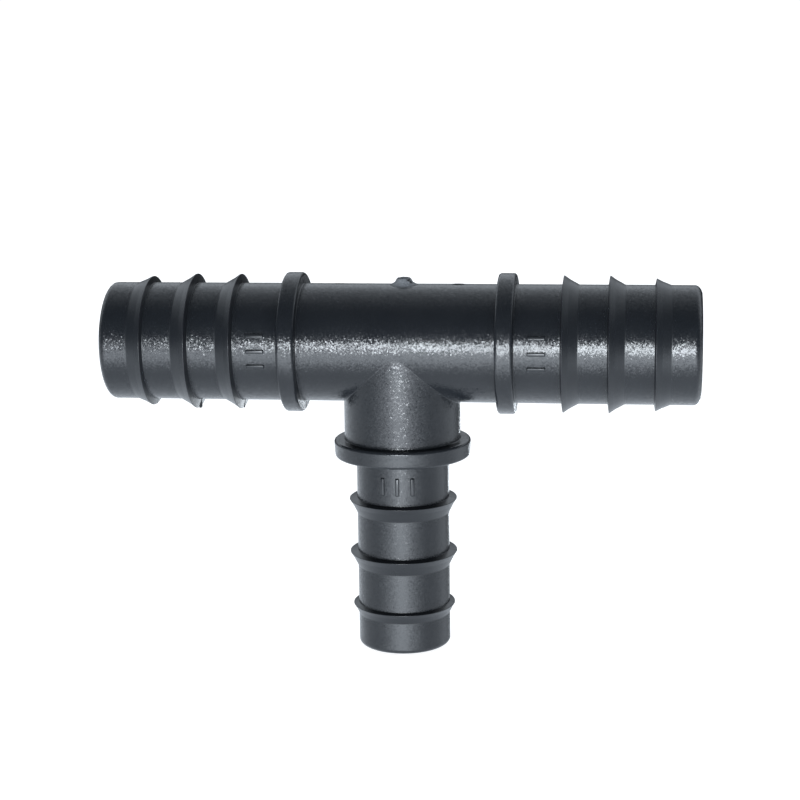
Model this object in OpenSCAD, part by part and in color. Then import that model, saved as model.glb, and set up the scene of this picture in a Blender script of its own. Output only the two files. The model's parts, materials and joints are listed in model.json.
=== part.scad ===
// Barbed insert tee for polyethylene irrigation pipe.
// The run lies along X, the smaller branch points down along -Z, and the two axes cross at the origin.
// The real fitting is one moulding. Each functional length of it is its own solid here,
// and neighbours meet face to face.

/* [Run ports] */
// Length of the run from tip to tip
run_length = 105.6; // [104:0.1:120]
// Outside diameter of the run hose tails, the pipe's inside diameter
run_tail_d = 21; // [20.5:0.1:22.5]
// Diameter of the waterway through the run
run_bore_d = 16.6; // [13:0.1:17.2]
// Diameter of the run collars
run_collar_d = 24.9; // [24:0.1:28]
// Distance from the centre to the outer face of a run collar, where the pipe stops
run_stop = 20.5; // [20:0.1:22]
// Distance from the centre to the innermost barb edge of a run tail
run_first_barb = 28.8; // [28:0.1:30]
// Spacing of the barb edges on a run tail
run_barb_pitch = 8.05; // [7:0.05:8.4]
// Height of the barb edges above a run tail
run_barb_h = 1.65; // [1:0.05:2]
// Height of the lead barb at a run tip, which is lower than the others
run_lead_barb_h = 1.16; // [0.8:0.02:1.6]
// Length of the sloping face of a run barb
run_ramp = 2.7; // [2:0.05:3.2]
// Radius of the rounded outer edge of a run tip
run_tip_round = 1.5; // [0.5:0.1:1.6]

/* [Branch port] */
// Distance from the run's axis to the end of the branch
branch_length = 55.5; // [54:0.1:65]
// Outside diameter of the branch hose tail, the pipe's inside diameter
branch_tail_d = 16.6; // [15.8:0.1:17.4]
// Diameter of the waterway through the branch
branch_bore_d = 12.4; // [10:0.1:12.6]
// Diameter of the branch collar
branch_collar_d = 24.4; // [22:0.1:26]
// Distance from the run's axis to the outer face of the branch collar
branch_stop = 20.4; // [20:0.1:22]
// Distance from the run's axis to the first barb edge of the branch tail
branch_first_barb = 28.3; // [27.5:0.1:30]
// Spacing of the barb edges on the branch tail
branch_barb_pitch = 9.8; // [9:0.05:10.3]
// Height of the barb edges above the branch tail
branch_barb_h = 1.44; // [1:0.02:1.8]
// Height of the lead barb at the branch tip
branch_lead_barb_h = 0.98; // [0.8:0.02:1.5]
// Length of the sloping face of a branch barb
branch_ramp = 2.6; // [2:0.05:3]
// Radius of the rounded outer edge of the branch tip
branch_tip_round = 0.9; // [0.4:0.1:1.4]

/* [Body] */
// Diameter of the neck that joins the run to the branch collar
neck_d = 20.8; // [20:0.02:20.9]
// Width of the collars
collar_w = 3.1; // [2.5:0.1:4]
// Rounding of the collars' outer edges
collar_round = 0.6; // [0.2:0.1:1]

/* [Gate and size marks] */
// Diameter of the gate stub where it leaves the body
gate_d = 4; // [3:0.1:5]
// Diameter of the gate stub where the sprue was torn off
gate_top_d = 2.4; // [1:0.1:2.8]
// Height of the gate stub above the body
gate_h = 1.2; // [0.5:0.05:2]
// Distance of the gate stub from the branch's axis, along the run
gate_place = 0.6; // [-2:0.1:2]
// Height of the raised size bars above the tail
mark_h = 0.34; // [0.2:0.02:0.5]
// Length of a size bar
mark_length = 3.2; // [2:0.1:3.6]
// Width of a size bar
mark_w = 0.7; // [0.4:0.05:0.8]
// Distance round the tail from one size bar to the next
mark_pitch = 2.7; // [2:0.1:3]
// Distance from the centre of the fitting to the middle of the size bars
mark_place = 24.5; // [24:0.1:26]

/* [Hidden] */
$fn = 96;

plastic = [0.13, 0.14, 0.15];
seat = 0.4;       // depth of the barb rings' seats in the tail
undercut = 0.25;  // how far a barb's steep face leans over the length of its height
over = 1;         // how far a cutting solid runs past what it cuts
bars_per_mark = 3;
run_r = run_tail_d / 2;
branch_r = branch_tail_d / 2;

// A port is [tail radius, bore radius, collar radius, stop distance, tip distance, tip rounding,
//            barb edge distances, barb heights, ramp lengths], with distances along its own axis.
TAIL_R = 0;
BORE_R = 1;
COLLAR_R = 2;
STOP = 3;
TIP = 4;
TIP_ROUND = 5;
EDGES = 6;
HEIGHTS = 7;
RAMPS = 8;

function edges(first, pitch) = [for (i = [0:2]) first + i * pitch];
function heights(full, lead) = [full, full, lead];
// The lead barb of a small tail keeps the slope of the others, so its ramp is shorter.
function ramps(full, share) = [full, full, full * share];

run_port = [
    run_r, run_bore_d / 2, run_collar_d / 2, run_stop, run_length / 2, run_tip_round,
    edges(run_first_barb, run_barb_pitch),
    heights(run_barb_h, run_lead_barb_h),
    ramps(run_ramp, 0.96)
];
branch_port = [
    branch_r, branch_bore_d / 2, branch_collar_d / 2, branch_stop, branch_length, branch_tip_round,
    edges(branch_first_barb, branch_barb_pitch),
    heights(branch_barb_h, branch_lead_barb_h),
    ramps(branch_ramp, branch_lead_barb_h / branch_barb_h)
];

// The three ways a port can point: a solid made along +Z is turned onto the port's own axis.
module to_left() rotate([0, -90, 0]) children();
module to_right() rotate([0, 90, 0]) children();
module to_branch() rotate([180, 0, 0]) children();

// Ring round Z between two distances, with its outer edges rounded
module round_edged_ring(r_in, r_out, z0, z1, edge) {
    rotate_extrude() {
        translate([r_in, z0]) square([r_out - edge - r_in, z1 - z0]);
        translate([r_in, z0 + edge]) square([r_out - r_in, z1 - z0 - 2 * edge]);
        translate([r_out - edge, z0 + edge]) circle(edge);
        translate([r_out - edge, z1 - edge]) circle(edge);
    }
}

// Ring round the root of a tail, with the flat face that the pipe's end stops against
module collar(port) {
    color(plastic)
        round_edged_ring(port[TAIL_R], port[COLLAR_R], port[STOP] - collar_w, port[STOP], collar_round);
}

// Hose tail from the inner face of its collar to the tip, with a seat for each barb ring
module tail(port) {
    edge = port[TIP_ROUND];
    wall = port[TAIL_R] - port[BORE_R];
    root = port[STOP] - collar_w;
    long = port[TIP] - root;
    color(plastic) rotate_extrude() difference() {
        union() {
            translate([port[BORE_R], root]) square([wall - edge, long]);
            translate([port[BORE_R], root]) square([wall, long - edge]);
            translate([port[TAIL_R] - edge, port[TIP] - edge]) circle(edge);
        }
        translate([0, root]) square([port[BORE_R], long + over]);
        for (i = [0:2])
            translate([port[TAIL_R] - seat, port[EDGES][i] - undercut])
                square([seat + over, port[RAMPS][i] + undercut]);
    }
}

// Barb ring: a steep face towards the collar, a sharp edge, and a long ramp towards the tip
module barb(port, i) {
    edge_z = port[EDGES][i];
    foot_z = edge_z + port[RAMPS][i];
    color(plastic) rotate_extrude() polygon([
        [port[TAIL_R] - seat, edge_z - undercut],
        [port[TAIL_R], edge_z - undercut],
        [port[TAIL_R] + port[HEIGHTS][i], edge_z],
        [port[TAIL_R], foot_z],
        [port[TAIL_R] - seat, foot_z]
    ]);
}

// Raised bars on the -Y side of a tail, side by side round it
module size_mark(r) {
    step = mark_pitch / r * 180 / PI;
    color(plastic) for (i = [0:bars_per_mark - 1])
        rotate([0, 0, (i - (bars_per_mark - 1) / 2) * step]) difference() {
            intersection() {
                cylinder(h = mark_place + mark_length, r = r + mark_h);
                translate([-mark_w / 2, -r - over, mark_place - mark_length / 2])
                    cube([mark_w, 2 * over, mark_length]);
            }
            cylinder(h = mark_place + mark_length + over, r = r);
        }
}

module waterway() {
    rotate([0, 90, 0]) cylinder(h = run_length + 2 * over, r = run_bore_d / 2, center = true);
    to_branch() cylinder(h = branch_length + over, r = branch_bore_d / 2);
}

// Middle of the run, between the inner faces of its collars
module tee_body() {
    color(plastic) difference() {
        rotate([0, 90, 0]) cylinder(h = 2 * (run_stop - collar_w), r = run_r, center = true);
        waterway();
    }
}

// Neck from the side of the run to the branch collar
module branch_neck() {
    color(plastic) difference() {
        to_branch() cylinder(h = branch_stop - collar_w, r = neck_d / 2);
        rotate([0, 90, 0]) cylinder(h = run_length, r = run_r, center = true);
        waterway();
    }
}

// What is left of the sprue, on top of the run opposite the branch
module gate_stub() {
    slope = (gate_d - gate_top_d) / 2 / gate_h;
    color(plastic) difference() {
        translate([gate_place, 0, run_r - over])
            cylinder(h = gate_h + over, r1 = gate_d / 2 + slope * over, r2 = gate_top_d / 2);
        rotate([0, 90, 0]) cylinder(h = run_length, r = run_r, center = true);
    }
}

tee_body();
branch_neck();
gate_stub();
to_left() collar(run_port);  // run_collar_left
to_left() tail(run_port);  // run_tail_left
to_left() barb(run_port, 0);  // run_barb_left_inner
to_left() barb(run_port, 1);  // run_barb_left_middle
to_left() barb(run_port, 2);  // run_barb_left_lead
to_left() size_mark(run_r);  // size_mark_left
to_right() collar(run_port);  // run_collar_right
to_right() tail(run_port);  // run_tail_right
to_right() barb(run_port, 0);  // run_barb_right_inner
to_right() barb(run_port, 1);  // run_barb_right_middle
to_right() barb(run_port, 2);  // run_barb_right_lead
to_right() size_mark(run_r);  // size_mark_right
to_branch() collar(branch_port);  // branch_collar
to_branch() tail(branch_port);  // branch_tail
to_branch() barb(branch_port, 0);  // branch_barb_inner
to_branch() barb(branch_port, 1);  // branch_barb_middle
to_branch() barb(branch_port, 2);  // branch_barb_lead
to_branch() mirror([0, 1, 0]) size_mark(branch_r);  // size_mark_branch
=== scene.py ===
"""Looks of the barbed reducing tee: one detailed moulded piece for each CAD node, and its studio."""

import json
import math

import bmesh
import bpy
from mathutils import Matrix, Vector, noise


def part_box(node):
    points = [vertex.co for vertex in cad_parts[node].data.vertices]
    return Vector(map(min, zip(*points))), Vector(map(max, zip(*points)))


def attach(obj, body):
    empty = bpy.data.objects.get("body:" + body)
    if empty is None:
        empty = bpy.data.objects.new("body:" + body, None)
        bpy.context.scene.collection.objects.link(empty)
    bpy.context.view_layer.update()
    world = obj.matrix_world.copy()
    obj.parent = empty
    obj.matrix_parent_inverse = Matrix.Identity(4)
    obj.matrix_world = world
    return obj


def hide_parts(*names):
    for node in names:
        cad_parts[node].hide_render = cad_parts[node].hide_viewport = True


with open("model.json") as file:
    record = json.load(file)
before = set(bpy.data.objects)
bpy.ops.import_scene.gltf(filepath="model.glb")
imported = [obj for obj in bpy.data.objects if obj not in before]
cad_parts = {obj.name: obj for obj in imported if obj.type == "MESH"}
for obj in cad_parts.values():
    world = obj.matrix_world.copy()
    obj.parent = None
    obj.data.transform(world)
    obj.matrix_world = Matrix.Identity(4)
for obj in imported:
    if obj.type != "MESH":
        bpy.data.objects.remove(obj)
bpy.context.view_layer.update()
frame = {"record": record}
MM = 0.001

# ---------------------------------------------------------------- what the frame says, in mm


def box_mm(node):
    low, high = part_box(node)
    return low / MM, high / MM


MOUNTS = {m["name"]: m for m in frame["record"]["mounts"]}
RUN_BORE = MOUNTS["run_bore"]["dims"]["r_mm"]
BRANCH_BORE = MOUNTS["branch_bore"]["dims"]["r_mm"]
BODY_R = box_mm("tee_body")[1].z
BODY_HALF = box_mm("tee_body")[1].x
NECK_R = box_mm("branch_neck")[1].x
FLOOR_Z = box_mm("branch_tail")[0].z

# How points along a port (distance a, radius r, angle t) are placed. The parting plane is y = 0.
PORTS = {
    "left": lambda a, r, t: (-a, -r * math.cos(t), r * math.sin(t)),
    "right": lambda a, r, t: (a, -r * math.cos(t), r * math.sin(t)),
    "branch": lambda a, r, t: (r * math.sin(t), -r * math.cos(t), -a),
}


def span(node, port):
    """Nearest and furthest distance of a node along its port, and its outer radius."""
    low, high = box_mm(node)
    if port == "left":
        return -high.x, -low.x, high.z
    if port == "right":
        return low.x, high.x, high.z
    return -high.z, -low.z, high.x


# ---------------------------------------------------------------- profiles and lathes

ARC_STEP = math.radians(11)  # a rounding turns at most this much at each of its points
LEAST_STEPS = 3
LEAST_TURN = 0.02  # a corner that turns less than this isn't rounded, in radians
CUT_SHARE = 0.47  # a rounding takes at most this share of the shorter side next to it
LOOP_SHARE = 0.49  # and a support loop is added only where it stays within this share
SUPPORT = 0.05  # loops this close to each rounding keep the flats flat
SLACK = 1e-6


def rounded(corners):
    """Closed outline (a, r) from corners (a, r, rounding radius), with an arc at each rounded corner."""
    out = []
    n = len(corners)
    for i, (a, r, rad) in enumerate(corners):
        p = Vector((a, r))
        before = Vector(corners[i - 1][:2]) - p
        after = Vector(corners[(i + 1) % n][:2]) - p
        reach = min(before.length, after.length)
        before.normalize()
        after.normalize()
        turn = math.pi - before.angle(after)
        if rad <= 0 or turn < LEAST_TURN:
            out.append(p)
            continue
        cut = min(rad * math.tan(turn / 2), CUT_SHARE * reach)
        rad = cut / math.tan(turn / 2)
        start = p + before * cut
        end = p + after * cut
        middle = p + (before + after).normalized() * (rad / math.cos(turn / 2))
        if cut + SUPPORT < LOOP_SHARE * reach:
            out.append(start + before * SUPPORT)
        steps = max(LEAST_STEPS, int(math.ceil(turn / ARC_STEP)))
        v0 = start - middle
        side = 1 if v0.x * (end - middle).y - v0.y * (end - middle).x > 0 else -1
        for k in range(steps + 1):
            q = side * turn * k / steps
            out.append(middle + Vector((v0.x * math.cos(q) - v0.y * math.sin(q),
                                        v0.x * math.sin(q) + v0.y * math.cos(q))))
        if cut + SUPPORT < LOOP_SHARE * reach:
            out.append(end + after * SUPPORT)
    return out


def resampled(outline, a0, a1, gap):
    """The outline with extra points, this gap apart, on its straight stretches between two distances."""
    out = []
    for i, p in enumerate(outline):
        out.append(p)
        q = outline[(i + 1) % len(outline)]
        inside = min(p.x, q.x) >= a0 - SLACK and max(p.x, q.x) <= a1 + SLACK
        count = int(abs(q.x - p.x) / gap) if inside else 0
        out += [p.lerp(q, k / count) for k in range(1, count)]
    return out


# The parting line is a low ridge where the halves of the mould met, on the plane y = 0
PARTINGS = (math.pi / 2, 3 * math.pi / 2)  # its angles round a port
FLASH = 0.03  # its height
FLASH_HALF = 0.085  # distance at which its height has fallen to 1/e
FLASH_REACH = 0.5  # it ends this far away
FLASH_OFFSETS = (0.0, 0.05, 0.1, 0.16, 0.26)  # distances from it at which the surface has loops
FLASH_CLEAR = 0.45  # the even loops keep this far away from it
OFF_BORE = 0.5  # it is only on the outer skin, this far out from the bore
OFF_END = 0.1  # and this far from a section's hidden ends and inner face
LATHE_STEPS = 168


def ridge(away):
    """Height of the parting line at a distance from it, as a share of its full height."""
    return math.exp(-(away / FLASH_HALF) ** 2)


def turns(radius, count):
    """Angles round a lathe: even steps, with a cluster of loops at each parting line."""
    fine = []
    for centre in PARTINGS:
        for offset in FLASH_OFFSETS:
            fine += [centre - offset / radius, centre + offset / radius]
    clear = FLASH_CLEAR / radius
    even = [2 * math.pi * k / count for k in range(count)]
    even = [t for t in even if all(abs(t - c) > clear for c in PARTINGS)]
    return sorted(set(round(t, 7) for t in even + fine))


def join_rows(mesh, rows):
    """Faces between rows of vertices, each row closed and joined to the next, and the last to the first."""
    for i, row in enumerate(rows):
        after = rows[(i + 1) % len(rows)]
        for k in range(len(row)):
            m = (k + 1) % len(row)
            mesh.faces.new((row[k], row[m], after[m], after[k]))
    bmesh.ops.recalc_face_normals(mesh, faces=mesh.faces)


def lathe(outline, port, radius, flash):
    """bmesh of a closed outline turned about a port's axis.

    flash(a, r, upper) is the height of the parting line at a point of the outline.
    """
    place = PORTS[port]
    area = sum(p.x * q.y - q.x * p.y for p, q in zip(outline, outline[1:] + outline[:1]))
    sign = 1 if area > 0 else -1
    outward = []
    for i, p in enumerate(outline):
        run = (outline[(i + 1) % len(outline)] - p).normalized() + (p - outline[i - 1]).normalized()
        outward.append(Vector((run.y, -run.x)).normalized() * sign)
    mesh = bmesh.new()
    rows = []
    for t in turns(radius, LATHE_STEPS):
        upper = math.sin(t) > 0
        away = abs(math.cos(t)) * radius
        row = []
        for p, n in zip(outline, outward):
            lift = flash(p.x, p.y, upper) * ridge(away) if away < FLASH_REACH else 0
            row.append(mesh.verts.new([MM * c for c in place(p.x + n.x * lift, p.y + n.y * lift, t)]))
        rows.append(row)
    join_rows(mesh, rows)
    return mesh


# ---------------------------------------------------------------- materials


def link(tree, source, target):
    tree.links.new(source, target)


def texture(tree, kind, scale, stretch=(1, 1, 1)):
    """A 3-D texture in object coordinates, stretched if asked."""
    node = tree.nodes.new(kind)
    node.inputs["Scale"].default_value = scale
    place = tree.nodes.new("ShaderNodeMapping")
    place.inputs["Scale"].default_value = stretch
    link(tree, tree.nodes.new("ShaderNodeTexCoord").outputs["Object"], place.inputs["Vector"])
    link(tree, place.outputs["Vector"], node.inputs["Vector"])
    return node


def vector_step(tree, operation, source, value=None):
    """Result of a vector-maths node on a source socket, with a constant or linked second input."""
    node = tree.nodes.new("ShaderNodeVectorMath")
    node.operation = operation
    link(tree, source, node.inputs[0])
    if isinstance(value, tuple):
        node.inputs[1].default_value = value
    elif value is not None:
        link(tree, value, node.inputs[1])
    return node.outputs["Value" if operation in ("DISTANCE", "DOT_PRODUCT") else "Vector"]


def spread(tree, source, low, high, to_low, to_high):
    """Result of mapping a source socket from one range to another, and clamping it there."""
    node = tree.nodes.new("ShaderNodeMapRange")
    for name, value in (("From Min", low), ("From Max", high), ("To Min", to_low), ("To Max", to_high)):
        node.inputs[name].default_value = value
    link(tree, source, node.inputs["Value"])
    return node.outputs["Result"]


def mix_colours(tree, share, first, second):
    """Result of mixing two colours, each a tuple or a socket, by the share in a socket."""
    node = tree.nodes.new("ShaderNodeMix")
    node.data_type = "RGBA"
    link(tree, share, node.inputs["Factor"])
    for name, colour in (("A", first), ("B", second)):
        if isinstance(colour, tuple):
            node.inputs[name].default_value = (*colour, 1)
        else:
            link(tree, colour, node.inputs[name])
    return node.outputs["Result"]


CLOUDS_PER_METRE = 160  # slow drift of tone and roughness
CLOUD_LOW, CLOUD_HIGH = 0.3, 0.7  # the part of the noise's range over which the roughness drifts
ROUGHNESS_DRIFT = 0.03
BUMPS_PER_METRE = 2400
GRAINS_PER_METRE = 5000
MILDEST, BOLDEST = 0.35, 1.65  # tilt of the least and most tilted grains, as shares of the mean


def plastic(name, dark, pale, roughness, facets, grain, turned=(1, 1, 1)):
    """Black polyolefin. facets tilts each tiny cell of a spark-eroded grain its own way,
    grain is the depth of a soft bump in metres, and turned stretches the bump into tool marks."""
    mat = bpy.data.materials.new(name)
    mat.use_nodes = True
    tree = mat.node_tree
    shader = tree.nodes["Principled BSDF"]
    shader.inputs["IOR"].default_value = 1.5
    cloud = texture(tree, "ShaderNodeTexNoise", CLOUDS_PER_METRE)
    cloud.inputs["Detail"].default_value = 3
    drift = cloud.outputs["Fac"]
    link(tree, mix_colours(tree, drift, dark, pale), shader.inputs["Base Color"])
    smoothest, roughest = roughness - ROUGHNESS_DRIFT, roughness + ROUGHNESS_DRIFT
    link(tree, spread(tree, drift, CLOUD_LOW, CLOUD_HIGH, smoothest, roughest), shader.inputs["Roughness"])

    bump = tree.nodes.new("ShaderNodeBump")
    bump.inputs["Distance"].default_value = grain
    bump_noise = texture(tree, "ShaderNodeTexNoise", BUMPS_PER_METRE, turned)
    link(tree, bump_noise.outputs["Fac"], bump.inputs["Height"])
    cells = texture(tree, "ShaderNodeTexVoronoi", GRAINS_PER_METRE)
    tilt = vector_step(tree, "SUBTRACT", cells.outputs["Color"], (0.5, 0.5, 0.5))
    chance = tree.nodes.new("ShaderNodeTexWhiteNoise")
    link(tree, cells.outputs["Position"], chance.inputs["Vector"])
    strength = spread(tree, chance.outputs["Value"], 0, 1, MILDEST * facets, BOLDEST * facets)
    tilt = vector_step(tree, "SCALE", tilt)
    link(tree, strength, tilt.node.inputs["Scale"])
    normal = vector_step(tree, "NORMALIZE", vector_step(tree, "ADD", bump.outputs["Normal"], tilt))
    link(tree, normal, shader.inputs["Normal"])
    return mat


SOFT_BUMP = 0.000012  # metres
DARK, PALE = (0.0084, 0.0098, 0.0120), (0.0108, 0.0124, 0.0150)
BODY_PLASTIC = plastic("moulded_plastic_grained", DARK, PALE, 0.23, facets=0.14, grain=SOFT_BUMP)
BRANCH_PLASTIC = plastic("moulded_plastic_fine", DARK, PALE, 0.23, facets=0.12, grain=SOFT_BUMP)
RUN_BARB_PLASTIC = plastic("barb_plastic_turned_run", DARK, PALE, 0.3, facets=0.04, grain=SOFT_BUMP,
                           turned=(3, 0.1, 0.1))
BRANCH_BARB_PLASTIC = plastic("barb_plastic_turned_branch", DARK, PALE, 0.3, facets=0.04, grain=SOFT_BUMP,
                              turned=(0.1, 0.1, 3))
TORN_PLASTIC = plastic("moulded_plastic_torn", (0.1, 0.108, 0.12), (0.24, 0.252, 0.27), 0.55, facets=0.4,
                       grain=0.00012)
FINISH = {"left": BODY_PLASTIC, "right": BODY_PLASTIC, "branch": BRANCH_PLASTIC}
BARB_FINISH = {"left": RUN_BARB_PLASTIC, "right": RUN_BARB_PLASTIC, "branch": BRANCH_BARB_PLASTIC}


MERGED = 1e-7  # vertices closer than this are one, in metres
SHARP = math.radians(32)  # faces that meet at more than this keep a sharp edge


def piece(name, mesh, material, slot, *nodes):
    """Finishes a bmesh as a piece on the root body that stands for CAD nodes."""
    bmesh.ops.remove_doubles(mesh, verts=mesh.verts, dist=MERGED)
    data = bpy.data.meshes.new(name)
    mesh.to_mesh(data)
    mesh.free()
    data.shade_smooth()
    data.set_sharp_from_angle(angle=SHARP)
    data.materials.append(material)
    obj = bpy.data.objects.new(name, data)
    bpy.context.scene.collection.objects.link(obj)
    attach(obj, "root")
    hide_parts(*nodes)


# ---------------------------------------------------------------- tails, collars and barbs

SKIN = 0.003  # how far a foot's toe stands on the surface it meets
SUNK = 0.3  # how far a ring reaches into the wall it stands on
MOUTH = 0.28  # rounding of the bore's mouth
MOUTH_LOOP = 0.02  # a loop this close to that rounding keeps the end flat
END_STEPS = 12
MOUTH_STEPS = 4


def tail_outline(root, tip, outer, bore, end_long, end_deep):
    """Hose tail, with an elliptical outer end: end_long along the axis, end_deep into the wall."""
    out = [Vector((root, bore)), Vector((root, outer)), Vector((tip - end_long - SUPPORT, outer))]
    for k in range(END_STEPS + 1):
        q = math.pi / 2 * k / END_STEPS
        out.append(Vector((tip - end_long * (1 - math.sin(q)), outer - end_deep * (1 - math.cos(q)))))
    out.append(Vector((tip, bore + MOUTH + MOUTH_LOOP)))
    for k in range(MOUTH_STEPS + 1):
        q = math.pi / 2 * k / MOUTH_STEPS
        out.append(Vector((tip - MOUTH * (1 - math.cos(q)), bore + MOUTH * (1 - math.sin(q)))))
    return out


def make_tail(port, node, bore, end_long, end_deep):
    root, tip, outer = span(node, port)
    outline = tail_outline(root, tip, outer, bore, end_long, end_deep)

    def line(a, r, upper):
        return FLASH if r > bore + OFF_BORE and a > root + OFF_END else 0

    piece(node + "_moulded", lathe(outline, port, outer, line), FINISH[port], "moulded_plastic", node)


TOE = 0.3  # how far a collar's fillet runs out along its neighbours
COLLAR_FILLET = 0.24
COLLAR_EDGE = 0.5


def make_collar(port, node, inner_r, tail_r, taper):
    """Collar with rounded edges and filleted feet, its rim wider by taper inside and narrower outside."""
    root, stop, outer = span(node, port)
    low = min(inner_r, tail_r) - SUNK
    outline = rounded([
        (root - TOE, low, 0), (root - TOE, inner_r + SKIN, 0), (root, inner_r + SKIN, COLLAR_FILLET),
        (root, outer + taper, COLLAR_EDGE), (stop, outer - taper, COLLAR_EDGE),
        (stop, tail_r + SKIN, COLLAR_FILLET), (stop + TOE, tail_r + SKIN, 0), (stop + TOE, low, 0)])

    def line(a, r, upper):
        return FLASH if r > low + OFF_END else 0

    piece(node + "_moulded", lathe(outline, port, outer, line), FINISH[port], "moulded_plastic", node)


UNDERCUT = 0.25  # the steep face's lean, as in the CAD
BARB_ROOT = 0.07  # fillet at the foot of the steep face
CREST = 0.08  # rounding of the barb's edge
HOLLOW_ALONG, HOLLOW_DOWN = 0.4, 0.46  # where the ramp bends inwards, as shares of its length and height
HOLLOW = 2.5  # rounding of that bend
RAMP_FOOT = 0.7  # fillet at the foot of the ramp
FLARE = 0.2  # how far that foot runs out along the tail
BURR_DEEP = 0.35  # a burr is on the barb's edge only, down to this far below it


def make_barb(port, node, tail_r, burr):
    """Barb ring with a hollow ramp. burr is the height of the flash under its edge."""
    near, foot, outer = span(node, port)
    edge = near + UNDERCUT
    low = tail_r - SUNK
    bend = (edge + HOLLOW_ALONG * (foot - edge), outer - HOLLOW_DOWN * (outer - tail_r), HOLLOW)
    outline = rounded([
        (near - BARB_ROOT, low, 0), (near - BARB_ROOT, tail_r + SKIN, 0), (near, tail_r + SKIN, BARB_ROOT),
        (edge, outer, CREST), bend, (foot, tail_r + SKIN, RAMP_FOOT),
        (foot + FLARE, tail_r + SKIN, 0), (foot + FLARE, low, 0)])

    def line(a, r, upper):
        if r < low + OFF_END:
            return 0
        return burr if r > outer - BURR_DEEP and not upper else FLASH

    piece(node + "_moulded", lathe(outline, port, outer, line), BARB_FINISH[port], "barb_plastic", node)


make_tail("left", "run_tail_left", RUN_BORE, 1.3, 1.8)
make_tail("right", "run_tail_right", RUN_BORE, 1.3, 1.8)
make_tail("branch", "branch_tail", BRANCH_BORE, 0.9, 0.9)
RUN_TAIL_R = span("run_tail_left", "left")[2]
BRANCH_TAIL_R = span("branch_tail", "branch")[2]
make_collar("left", "run_collar_left", BODY_R, RUN_TAIL_R, 0)
make_collar("right", "run_collar_right", BODY_R, RUN_TAIL_R, 0)
make_collar("branch", "branch_collar", NECK_R, BRANCH_TAIL_R, 0.1)
BURRS = {"inner": 0.14, "middle": 0.3, "lead": 0.06}  # flash under the left barbs, in mm
for kind, burr in BURRS.items():
    make_barb("left", "run_barb_left_" + kind, RUN_TAIL_R, burr)
    make_barb("right", "run_barb_right_" + kind, RUN_TAIL_R, FLASH)
    make_barb("branch", "branch_barb_" + kind, BRANCH_TAIL_R, FLASH)

# ---------------------------------------------------------------- middle of the tee

GATE_LOW, GATE_HIGH = box_mm("gate_stub")
# Two short scraps of flash on the top parting line: middle, half length, height
SCRAPS = ((-10.9, 1.1, 0.08), (10.3, 1.35, 0.13))


def body_flash(a, r, upper):
    """Height of the body's parting line, with the scraps on its upper side."""
    if r < RUN_BORE + OFF_BORE or abs(a) > BODY_HALF - OFF_END:
        return 0
    lift = FLASH
    if upper:
        for middle, half, height in SCRAPS:
            lift += height * max(0, 1 - abs((a - middle) / half) ** 4)
    return lift


HOLE_SIDES = 144


def cut_hole(mesh, radius, z0, z1):
    """Takes a vertical round hole out of a closed bmesh, with an exact boolean."""
    data = bpy.data.meshes.new("hole_target")
    mesh.to_mesh(data)
    mesh.free()
    target = bpy.data.objects.new("hole_target", data)
    cutter_mesh = bmesh.new()
    middle = Matrix.Translation((0, 0, (z0 + z1) / 2 * MM))
    bmesh.ops.create_cone(cutter_mesh, cap_ends=True, segments=HOLE_SIDES, radius1=radius * MM,
                          radius2=radius * MM, depth=(z1 - z0) * MM, matrix=middle)
    cutter_data = bpy.data.meshes.new("hole_cutter")
    cutter_mesh.to_mesh(cutter_data)
    cutter_mesh.free()
    cutter = bpy.data.objects.new("hole_cutter", cutter_data)
    for o in (target, cutter):
        bpy.context.scene.collection.objects.link(o)
    cut = target.modifiers.new("cut", "BOOLEAN")
    cut.operation = "DIFFERENCE"
    cut.solver = "EXACT"
    cut.object = cutter
    bpy.context.view_layer.update()
    done = target.evaluated_get(bpy.context.evaluated_depsgraph_get())
    out = bmesh.new()
    out.from_mesh(done.to_mesh())
    done.to_mesh_clear()
    for o in (target, cutter):
        bpy.data.objects.remove(o)
    return out


LOOP_GAP = 0.45  # spacing of the loops along the body, fine enough for its scraps of flash
PAST_SKIN = 4  # how far the branch's hole is cut past the body's skin
corners = ((-BODY_HALF, RUN_BORE), (BODY_HALF, RUN_BORE), (BODY_HALF, BODY_R), (-BODY_HALF, BODY_R))
body_outline = resampled([Vector(p) for p in corners], -BODY_HALF, BODY_HALF, LOOP_GAP)
body = lathe(body_outline, "right", BODY_R, body_flash)
piece("tee_body_moulded", cut_hole(body, BRANCH_BORE, -BODY_R - PAST_SKIN, 0), BODY_PLASTIC,
      "moulded_plastic", "tee_body")

NECK_TURNS = 192
NECK_LOOPS = 6  # from the collar up to the fillet
FILLET_STEPS = 8
FRONT_POWER = 14  # how sharply the fillet's radius grows towards the front and back
SKIRT = 0.35  # how far the neck's top reaches into the body
SAME_WAY = 1e-4


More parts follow.
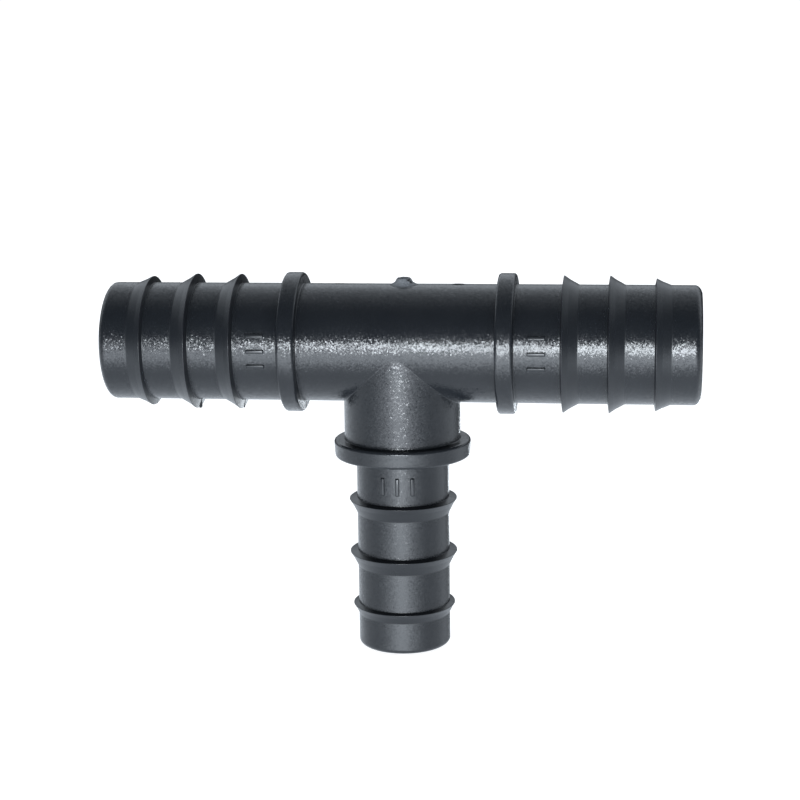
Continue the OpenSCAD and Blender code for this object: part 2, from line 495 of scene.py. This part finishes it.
def neck_mesh(crotch, front):
    """Neck with a fillet onto the run, as rolled by a ball that touches both cylinders.

    The ball's radius is crotch at the run's two sides, and grows to front at the front and the back.
    """
    foot = span("branch_neck", "branch")[1]
    mesh = bmesh.new()
    rows = []
    for t in turns(NECK_R, NECK_TURNS):
        side = Vector((math.sin(t), -math.cos(t), 0))
        fillet = crotch + (front - crotch) * math.cos(t) ** FRONT_POWER
        reach = NECK_R + fillet
        rise = math.sqrt((BODY_R + fillet) ** 2 - (reach * side.y) ** 2)
        ball = Vector((reach * side.x, reach * side.y, -rise))
        to_neck = -side
        to_run = Vector((0, -ball.y, -ball.z)).normalized()
        lift = FLASH * ridge(abs(math.cos(t)) * NECK_R)
        row = [Vector((side.x * BRANCH_BORE, side.y * BRANCH_BORE, -foot))]
        for k in range(NECK_LOOPS):
            row.append(side * (NECK_R + lift) + Vector((0, 0, -foot + (ball.z + foot) * k / NECK_LOOPS)))
        wide = to_neck.angle(to_run)
        for k in range(FILLET_STEPS + 1):
            q = k / FILLET_STEPS
            if wide < SAME_WAY:
                arm = to_neck
            else:
                arm = (to_neck * math.sin((1 - q) * wide) + to_run * math.sin(q * wide)) / math.sin(wide)
            row.append(ball + arm * fillet - to_neck * (lift * (1 - q)))
        last = row[-1]
        inward = Vector((0, -last.y, -last.z)).normalized()
        row.append(last + inward * SKIRT)
        deep = -math.sqrt((BODY_R - SKIRT) ** 2 - (BRANCH_BORE * side.y) ** 2)
        row.append(Vector((side.x * BRANCH_BORE, side.y * BRANCH_BORE, deep)))
        rows.append([mesh.verts.new(v * MM) for v in row])
    join_rows(mesh, rows)
    return mesh


piece("branch_neck_moulded", neck_mesh(0.12, 1.2), BRANCH_PLASTIC, "moulded_plastic", "branch_neck")


GATE_AXIS = Vector(((GATE_LOW.x + GATE_HIGH.x) / 2, 0, 0))
GATE_FOOT_R = (GATE_HIGH.x - GATE_LOW.x) / 2
GATE_TOP_R = 1.2
GATE_SIDES = 56
SHOULDER = 0.14  # the cone starts this far in from the CAD's foot
# The foot's section: distance out from the CAD's foot, height above the run
GATE_SKIRT = ((0.8, -0.3), (0.62, -0.012), (0.38, 0.035), (0.1, 0.12), (-SHOULDER, 0.27))
GATE_CONE = ((0.35, 0.36), (0.6, 0.6), (0.82, 0.84), (0.96, 0.96))  # shares of the way in and of the way up
CONE_HEIGHT = 0.9  # as a share of the stub's height
CONE_WAVE, CONE_WAVES = 0.05, 1.7  # height of the cone's waves, and how closely they follow each other
TORN_RINGS = (1.0, 0.93, 0.8, 0.62, 0.42, 0.2)  # shares of the top's radius
TORN_COARSE, TORN_FINE = 0.09, 0.05  # heights of its coarse and fine rags
COARSE_RAGS, FINE_RAGS = 3.1, 7  # and how closely they follow each other
TORN_DOWN = 0.06  # how far below the CAD's top its back is, apart from the rags
BELOW_TOP = 0.005  # no point of it is nearer to the CAD's top than this
BOWL = 0.3  # how deep the torn top sinks in the middle
LEAN = 0.09  # half of how far its front is below its back
# Pits where plastic was pulled out of the stub's torn rim, dented in the mesh and coloured near-black as
# painted shade: centre from the stub's axis, size
GATE_PITS = ((Vector((0.86, -0.8, BODY_R + 1.0)), 0.32), (Vector((1.42, -0.7, BODY_R + 0.55)), 0.28))
PIT_DEPTH = 0.32
PIT_AIM = 0.9  # the pits sink towards the point of the axis that is this far below them
GATE_UNDER = 0.6  # how far the stub reaches into the body


def gate_mesh():
    """Stub of the sprue, as rings of points: a blended foot, a cone, and a torn top with two pits."""
    height = GATE_HIGH.z - BODY_R
    mesh = bmesh.new()
    around = [2 * math.pi * k / GATE_SIDES for k in range(GATE_SIDES)]

    def surface(y):
        return math.sqrt(BODY_R ** 2 - y ** 2)

    rings = []
    for out, high in GATE_SKIRT:
        r = GATE_FOOT_R + out
        plan = [(r * math.cos(q), r * math.sin(q)) for q in around]
        rings.append([Vector((x, y, surface(y) + high)) for x, y in plan])
    for part, high in GATE_CONE:
        r = GATE_FOOT_R - SHOULDER + (GATE_TOP_R - GATE_FOOT_R + SHOULDER) * part
        ring = []
        for q in around:
            spot = Vector((math.cos(q) * CONE_WAVES, math.sin(q) * CONE_WAVES, part * 3))
            wave = CONE_WAVE * noise.noise(spot)
            ring.append(Vector(((r + wave) * math.cos(q), (r + wave) * math.sin(q),
                                BODY_R + height * high * CONE_HEIGHT)))
        rings.append(ring)
    for share in TORN_RINGS:
        ring = []
        for q in around:
            x, y = share * math.cos(q), share * math.sin(q)
            rag = (TORN_COARSE * noise.noise(Vector((x * COARSE_RAGS + 4, y * COARSE_RAGS, 0.7)))
                   + TORN_FINE * noise.noise(Vector((x * FINE_RAGS, y * FINE_RAGS, 3))))
            bowl = -BOWL * (1 - share ** 3) + LEAN * (y - 1)
            z = BODY_R + height - TORN_DOWN + rag + bowl
            ring.append(Vector((x * GATE_TOP_R, y * GATE_TOP_R, min(z, BODY_R + height - BELOW_TOP))))
        rings.append(ring)
    for ring in rings[len(GATE_SKIRT) - 1:]:
        for v in ring:
            for centre, size in GATE_PITS:
                near = (v - centre).length / size
                v -= Vector((v.x, v.y, PIT_AIM)).normalized() * (PIT_DEPTH * math.exp(-near ** 2))
    verts = [[mesh.verts.new((v + GATE_AXIS) * MM) for v in ring] for ring in rings]
    for lower, higher in zip(verts, verts[1:]):
        for k in range(GATE_SIDES):
            m = (k + 1) % GATE_SIDES
            mesh.faces.new((lower[k], lower[m], higher[m], higher[k]))
    centre = sum((v.co for v in verts[-1]), Vector()) / GATE_SIDES
    crown = mesh.verts.new(centre)
    under = mesh.verts.new(Vector((GATE_AXIS.x, 0, BODY_R - GATE_UNDER)) * MM)
    for k in range(GATE_SIDES):
        m = (k + 1) % GATE_SIDES
        mesh.faces.new((verts[-1][k], verts[-1][m], crown))
        mesh.faces.new((verts[0][m], verts[0][k], under))
    bmesh.ops.recalc_face_normals(mesh, faces=mesh.faces)
    return mesh


SKIRT_GREY = (0.05, 0.054, 0.06)
# painted shade: the near-black colour of the gate's pits stands in for the shadow in the cavities
PIT_PAINTED_SHADE = (0.002, 0.002, 0.003)
FADE_END = 1.3  # where the foot has its darker grey, as a share of the CAD foot's radius
PIT_EDGE = 1.5  # where a pit's painted shade ends, as a share of its size


def tint_stub_and_paint_pit_shade(mat):
    """Darken the pale torn plastic round the stub's foot, and colour its pits near-black as painted shade.
    """
    tree = mat.node_tree
    shader = tree.nodes["Principled BSDF"]
    colour = shader.inputs["Base Color"].links[0].from_socket
    place = tree.nodes.new("ShaderNodeTexCoord").outputs["Object"]
    foot_r = GATE_FOOT_R * MM
    plan = vector_step(tree, "MULTIPLY", place, (1, 1, 0))
    off = vector_step(tree, "DISTANCE", plan, tuple(GATE_AXIS * MM))
    colour = mix_colours(tree, spread(tree, off, foot_r, FADE_END * foot_r, 0, 1), colour, SKIRT_GREY)
    # painted shade: each pit's colour goes near-black towards its centre
    for centre, size in GATE_PITS:
        apart = vector_step(tree, "DISTANCE", place, tuple(centre * MM + GATE_AXIS * MM))
        inside = spread(tree, apart, PIT_EDGE * size * MM, size * MM, 0, 1)
        colour = mix_colours(tree, inside, colour, PIT_PAINTED_SHADE)
    link(tree, colour, shader.inputs["Base Color"])


tint_stub_and_paint_pit_shade(TORN_PLASTIC)
piece("gate_stub_moulded", gate_mesh(), TORN_PLASTIC, "moulded_plastic", "gate_stub")

# ---------------------------------------------------------------- size bars

MARK_PITCH, MARK_W, MARK_H, BARS = 2.7, 0.7, 0.34, 3  # as in the CAD
MARK_SUNK = 0.2
MARK_BEVEL = 0.2


def mark_mesh(port, node, tail_r):
    """Three plain raised bars round a tail, each nearly half-round."""
    near, far, _ = span(node, port)
    mesh = bmesh.new()
    place = PORTS[port]
    for i in range(BARS):
        t = (i - (BARS - 1) / 2) * MARK_PITCH / tail_r
        bar = bmesh.new()
        bmesh.ops.create_cube(bar, size=1)
        for v in bar.verts:
            high = (v.co.z + 0.5) * (MARK_SUNK + MARK_H)
            v.co = Vector((v.co.x * (far - near), v.co.y * MARK_W, tail_r - MARK_SUNK + high))
        top = [e for e in bar.edges if max(v.co.z for v in e.verts) > tail_r]
        bmesh.ops.bevel(bar, geom=top, offset=MARK_BEVEL, segments=4, profile=0.5, affect="EDGES")
        for v in bar.verts:
            a, s, r = (near + far) / 2 + v.co.x, v.co.y / tail_r, v.co.z
            v.co = Vector(place(a, r, t + s)) * MM
        data = bpy.data.meshes.new("bar")
        bar.to_mesh(data)
        bar.free()
        mesh.from_mesh(data)
        bpy.data.meshes.remove(data)
    bmesh.ops.recalc_face_normals(mesh, faces=mesh.faces)
    return mesh


for port, tail_r in (("left", RUN_TAIL_R), ("right", RUN_TAIL_R), ("branch", BRANCH_TAIL_R)):
    node = "size_mark_" + port
    piece(node + "_moulded", mark_mesh(port, node, tail_r), RUN_BARB_PLASTIC, "barb_plastic", node)

# ---------------------------------------------------------------- studio


def direction(azimuth, elevation):
    """Unit vector from the object towards a viewer or a light."""
    a, e = math.radians(azimuth), math.radians(elevation)
    return Vector((math.sin(a) * math.cos(e), -math.cos(a) * math.cos(e), math.sin(e)))


scene = bpy.context.scene
scene.view_settings.view_transform = "Standard"

SENSOR_MM, FOCAL_MM = 36, 85.86
# Where the camera's back points and how it is rolled, in degrees, then where it stands from the pivot
LOOK_AZIMUTH, LOOK_ELEVATION, ROLL = 7.38, 11.695, -0.746
STAND_AZIMUTH, STAND_ELEVATION, STAND_AWAY = 7.316, 10.965, 0.3407
PIVOT = Vector((0, 0, -0.006))

cam_data = bpy.data.cameras.new("camera")
cam_data.sensor_width = SENSOR_MM
cam_data.lens = FOCAL_MM
cam_data.clip_start = 0.01
camera = bpy.data.objects.new("camera", cam_data)
scene.collection.objects.link(camera)
back = direction(LOOK_AZIMUTH, LOOK_ELEVATION)
level = Vector((math.cos(math.radians(LOOK_AZIMUTH)), math.sin(math.radians(LOOK_AZIMUTH)), 0))
upright = back.cross(level)
roll = math.radians(ROLL)
right = level * math.cos(roll) + upright * math.sin(roll)
up = upright * math.cos(roll) - level * math.sin(roll)
eye = PIVOT + direction(STAND_AZIMUTH, STAND_ELEVATION) * STAND_AWAY
camera.matrix_world = Matrix(((right.x, up.x, back.x, eye.x), (right.y, up.y, back.y, eye.y),
                              (right.z, up.z, back.z, eye.z), (0, 0, 0, 1)))
scene.camera = camera

LAMP_AWAY = 0.9
LAMP_TINT = (0.93, 1.0, 1.06)


def soft_light(name, azimuth, elevation, wide, high, radiance):
    """Rectangular lamp of a given radiance that faces the object and isn't seen itself."""
    data = bpy.data.lights.new(name, "AREA")
    data.shape = "RECTANGLE"
    data.size, data.size_y = wide, high
    data.energy = radiance * math.pi * wide * high
    data.color = LAMP_TINT
    lamp = bpy.data.objects.new(name, data)
    scene.collection.objects.link(lamp)
    away = direction(azimuth, elevation)
    lamp.location = away * LAMP_AWAY
    lamp.rotation_euler = away.to_track_quat("Z", "Y").to_euler()
    lamp.visible_camera = False


soft_light("softbox", 1.5, 0.5, 0.40, 0.15, 32)
soft_light("table_behind", 170.8, -15.4, 0.11, 0.075, 5)

# Light tent: pale all round and behind, dark above the front, where the camera side of the room is.
world = bpy.data.worlds.new("tent")
scene.world = world
world.use_nodes = True
sky = world.node_tree
sky.nodes.clear()


def looking():
    """Socket with the direction in which the world is seen."""
    return sky.nodes.new("ShaderNodeTexCoord").outputs["Generated"]


def maths(operation, *values):
    """Result of a maths node of the world, with its inputs linked or set."""
    step = sky.nodes.new("ShaderNodeMath")
    step.operation = operation
    for socket, value in zip(step.inputs, values):
        if isinstance(value, (int, float)):
            socket.default_value = value
        else:
            link(sky, value, socket)
    return step.outputs[0]


split = sky.nodes.new("ShaderNodeSeparateXYZ")
link(sky, looking(), split.inputs[0])
sideways, upward = split.outputs["X"], split.outputs["Z"]
forward = maths("MULTIPLY", split.outputs["Y"], -1)
pitch = maths("ARCTAN2", upward, forward)
ramp = sky.nodes.new("ShaderNodeValToRGB")
link(sky, maths("MULTIPLY_ADD", pitch, 1 / (2 * math.pi), 0.5), ramp.inputs["Fac"])
# Degrees round from the front over the top, and the brightness there
TENT = ((-180, 0.1), (-172, 0.2), (-168, 1.2), (-150, 1.15), (-110, 1.12), (-88, 1.0), (-60, 0.86),
        (-30, 0.72), (-8, 0.4), (12, 0.02), (62, 0.02), (78, 0.1), (92, 0.34), (112, 0.66), (128, 0.9),
        (145, 1.06), (160, 1.04), (166, 0.6), (171, 0.2), (180, 0.1))
BRIGHTEST = 1.2  # a ramp's colours stop at 1, so the ramp holds shares of this
stops = ramp.color_ramp.elements
for i, (degrees, _) in enumerate(TENT):
    fraction = (degrees + 180) / 360
    stop = stops[i] if i < 2 else stops.new(fraction)
    stop.position = fraction
for stop, (degrees, bright) in zip(stops, TENT):
    stop.position = (degrees + 180) / 360
    stop.color = (bright / BRIGHTEST, bright / BRIGHTEST, bright / BRIGHTEST, 1)


def glow(bright, wide, middle, high):
    """Soft patch of light on the front of the tent, middle degrees up, with bell-shaped edges.

    wide and high are its half-widths in degrees.
    """
    across = maths("POWER", maths("DIVIDE", maths("ABSOLUTE", sideways), math.sin(math.radians(wide))), 2)
    off = maths("ABSOLUTE", maths("SUBTRACT", upward, math.sin(math.radians(middle))))
    down = maths("POWER", maths("DIVIDE", off, math.sin(math.radians(high))), 2)
    bell = maths("EXPONENT", maths("MULTIPLY", maths("ADD", across, down), -0.5))
    return maths("MULTIPLY", maths("MULTIPLY", bell, maths("GREATER_THAN", forward, 0)), bright)


def curtain(azimuth, elevation, wide, depth):
    """What is left of the tent's light round a dark soft-edged spot of this half-width."""
    dot = vector_step(sky, "DOT_PRODUCT", looking(), tuple(direction(azimuth, elevation)))
    bell = maths("EXPONENT", maths("DIVIDE", maths("SUBTRACT", dot, 1), math.radians(wide) ** 2))
    return maths("MULTIPLY_ADD", bell, -depth, 1)


CURTAINS = ((152, -6, 14, 0.95), (66, -14, 22, 0.4), (-66, -14, 22, 0.3))
TENT_TINT = (0.92, 1.0, 1.09, 1)
WHITE = (1, 1, 1, 1)
BACKDROP = 1.05  # the tent's brightness where the camera sees it straight
tented = maths("MULTIPLY", ramp.outputs["Color"], BRIGHTEST)
for azimuth, elevation, wide, depth in CURTAINS:
    tented = maths("MULTIPLY", tented, curtain(azimuth, elevation, wide, depth))
tent = sky.nodes.new("ShaderNodeBackground")
tent.inputs["Color"].default_value = TENT_TINT
link(sky, maths("ADD", tented, glow(4.9, 24, -19, 10)), tent.inputs["Strength"])
pale = sky.nodes.new("ShaderNodeBackground")
pale.inputs["Color"].default_value = WHITE
pale.inputs["Strength"].default_value = BACKDROP
seen = sky.nodes.new("ShaderNodeLightPath")
mixed = sky.nodes.new("ShaderNodeMixShader")
link(sky, seen.outputs["Is Camera Ray"], mixed.inputs["Fac"])
link(sky, tent.outputs[0], mixed.inputs[1])
link(sky, pale.outputs[0], mixed.inputs[2])
world_out = sky.nodes.new("ShaderNodeOutputWorld")
link(sky, mixed.outputs[0], world_out.inputs["Surface"])

# Floor: pale card, lit evenly enough to read as white
FLOOR_REACH = 3.0
FLOOR_GAP = 0.02  # the visual's lowest point is a little below the CAD's, in mm
level_z = (FLOOR_Z - FLOOR_GAP) * MM
floor_data = bpy.data.meshes.new("floor")
floor_data.from_pydata([(-FLOOR_REACH, -FLOOR_REACH, level_z), (FLOOR_REACH, -FLOOR_REACH, level_z),
                        (FLOOR_REACH, FLOOR_REACH, level_z), (-FLOOR_REACH, FLOOR_REACH, level_z)],
                       [], [(0, 1, 2, 3)])
floor = bpy.data.objects.new("floor", floor_data)
scene.collection.objects.link(floor)
card = bpy.data.materials.new("pale_card")
card.use_nodes = True
card_shader = card.node_tree.nodes["Principled BSDF"]
card_shader.inputs["Base Color"].default_value = (0.85, 0.86, 0.87, 1)
card_shader.inputs["Roughness"].default_value = 0.9
card_shader.inputs["Emission Color"].default_value = WHITE
card_shader.inputs["Emission Strength"].default_value = 0.9
floor_data.materials.append(card)
floor.visible_glossy = False
floor.visible_shadow = False
